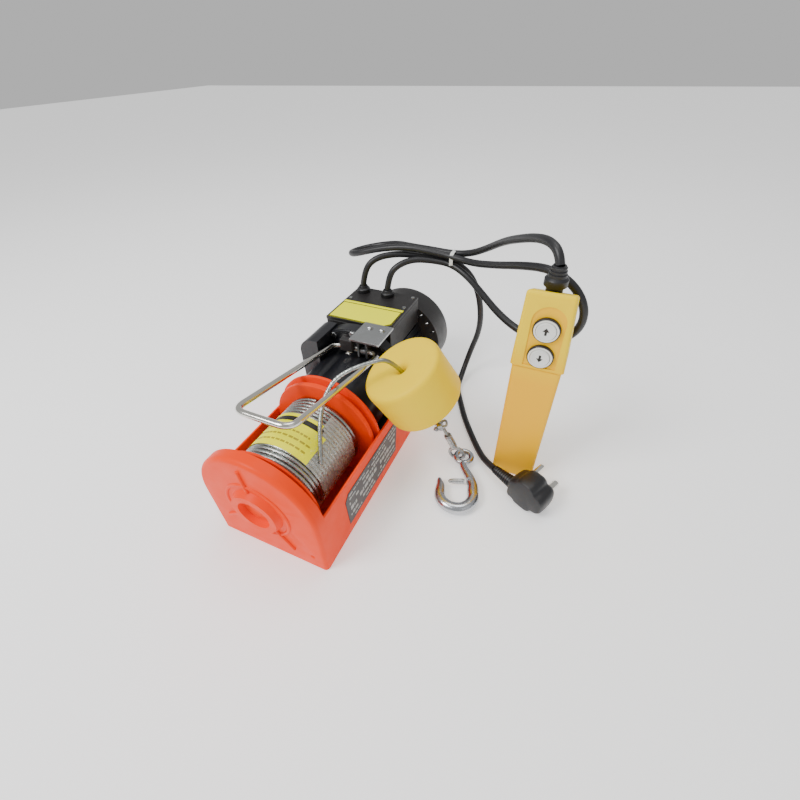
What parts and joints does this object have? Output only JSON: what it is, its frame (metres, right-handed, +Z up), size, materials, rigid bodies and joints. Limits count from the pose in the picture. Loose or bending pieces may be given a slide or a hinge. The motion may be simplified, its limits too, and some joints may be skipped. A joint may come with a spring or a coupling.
{
  "type": "electric wire rope hoist",
  "caption": "Electric wire rope hoist: a rope drum in a steel frame, gearbox and brake motor, limit lever, counterweight, hook and pendant handset.",
  "frame": {"origin": "centre of the four mounting holes, on the underside of the base", "axes": "+Z up out of the base, +Y along the drum from the front end plate to the fan, +X across the frame towards the rope, hook and handset"},
  "size_m": [0.3728, 0.4287, 0.2895],
  "materials": {
    "frame_paint": "orange-red powder coat, fine orange peel",
    "case_black": "satin black paint on a die casting",
    "steel": "machined steel",
    "zinc": "bright zinc plate",
    "chrome": "bright plate",
    "rope_steel": "galvanised stranded wire",
    "weight_paint": "yellow enamel on cast iron",
    "bronze": "sintered bronze",
    "copper": "varnished copper winding",
    "lamination": "stacked laminations",
    "black_plastic": "fine grained black plastic",
    "black_rubber": "black rubber sheath",
    "yellow_plastic": "smooth moulded yellow plastic",
    "white_plastic": "white plastic",
    "yellow_label": "printed film",
    "slate_label": "printed film"
  },
  "bodies": {
    "root": {"base_channel": "frame_paint", "front_end_plate": "frame_paint", "bearing_cap": "frame_paint", "mount_plate": "frame_paint", "rail_label": "slate_label", "drum_bushes": "bronze", "idler_bushes": "bronze", "gear_case_front": "case_black", "gear_case_rear": "case_black", "case_screws": "zinc", "motor_housing": "case_black", "stator_core": "lamination", "stator_windings": "copper", "motor_bearings": "steel", "brake_coil": "copper", "fan_cowl": "case_black", "terminal_box": "black_plastic", "terminal_box_lid": "black_plastic", "box_label": "yellow_label", "capacitor": "white_plastic", "cable_glands": "black_rubber", "lever_bracket": "zinc", "lever_spring": "steel", "limit_switch": "black_plastic", "rope_run": "rope_steel", "rope_clip": "zinc", "rope_ferrule": "zinc", "thimble": "zinc", "handset_front_shell": "yellow_plastic", "handset_rear_shell": "yellow_plastic", "button_collars": "black_rubber", "switch_block": "black_plastic", "handset_boot": "black_rubber", "pendant_cable": "black_rubber", "mains_cable": "black_rubber", "plug_body": "black_rubber", "plug_pins": "chrome", "plug_collar": "black_rubber", "cable_tie": "white_plastic"},
    "drum": {"drum": "frame_paint", "drum_shaft": "steel", "drum_gear": "steel", "rope_winding": "rope_steel", "rope_clamp": "zinc"},
    "idler": {"idler_shaft": "steel", "idler_pinion": "steel", "idler_gear": "steel"},
    "rotor": {"rotor_core": "lamination", "motor_shaft": "steel", "motor_pinion": "steel", "brake_disc": "steel", "fan": "black_plastic"},
    "armature": {"brake_armature": "steel"},
    "lever": {"lever_loop": "chrome"},
    "plunger": {"switch_plunger": "white_plastic"},
    "weight": {"counterweight": "weight_paint"},
    "load_hook": {"hook": "chrome"},
    "latch": {"hook_latch": "zinc"},
    "up_key": {"button_up": "white_plastic"},
    "down_key": {"button_down": "white_plastic"}
  },
  "joints": [
    {"name": "drum_spin", "type": "hinge", "parent": "root", "child": "drum", "pos_m": [0, 0, 0.0726], "axis": [0, 1, 0], "continuous": true},
    {"name": "idler_spin", "type": "hinge", "parent": "root", "child": "idler", "pos_m": [-0.03104, 0, 0.10343], "axis": [0, 1, 0], "continuous": true},
    {"name": "rotor_spin", "type": "hinge", "parent": "root", "child": "rotor", "pos_m": [-0.008, 0, 0.07577], "axis": [0, 1, 0], "continuous": true},
    {"name": "brake_release", "type": "slide", "parent": "root", "child": "armature", "axis": [0, -1, 0], "range_m": [0, 0.0006], "stiffness_N_per_m": 4000, "springref_m": -0.001},
    {"name": "lever_lift", "type": "hinge", "parent": "root", "child": "lever", "pos_m": [0, 0.1, 0.13], "axis": [-1, 0, 0], "range_deg": [0, 3], "stiffness_Nm_per_rad": 0.6, "springref_deg": -14.32},
    {"name": "plunger_press", "type": "slide", "parent": "root", "child": "plunger", "axis": [0, 0, 1], "range_m": [0, 0.0008]},
    {"name": "weight_lift", "type": "slide", "parent": "root", "child": "weight", "axis": [-0.4299, -0.2629, 0.8638], "range_m": [0, 0.006]},
    {"name": "hook_swing", "type": "hinge", "parent": "root", "child": "load_hook", "pos_m": [0.158, 0.083, 0.009], "axis": [-0.9877, -0.1564, 0], "range_deg": [0, 7]},
    {"name": "latch_open", "type": "hinge", "parent": "load_hook", "child": "latch", "pos_m": [0.17341, 0.04647, 0.00833], "axis": [0.0027, -0.0172, 0.9998], "range_deg": [0, 32], "stiffness_Nm_per_rad": 0.02, "springref_deg": -17.19},
    {"name": "up_press", "type": "slide", "parent": "root", "child": "up_key", "axis": [0, 1, 0], "range_m": [0, 0.003], "stiffness_N_per_m": 400, "springref_m": -0.001},
    {"name": "down_press", "type": "slide", "parent": "root", "child": "down_key", "axis": [0, 1, 0], "range_m": [0, 0.003], "stiffness_N_per_m": 400, "springref_m": -0.001}
  ],
  "couplings": [
    {"joint": "idler_spin", "follows": "drum_spin", "ratio": -6},
    {"joint": "rotor_spin", "follows": "drum_spin", "ratio": 42},
    {"joint": "plunger_press", "follows": "lever_lift", "m_per_rad": 0.0135}
  ]
}
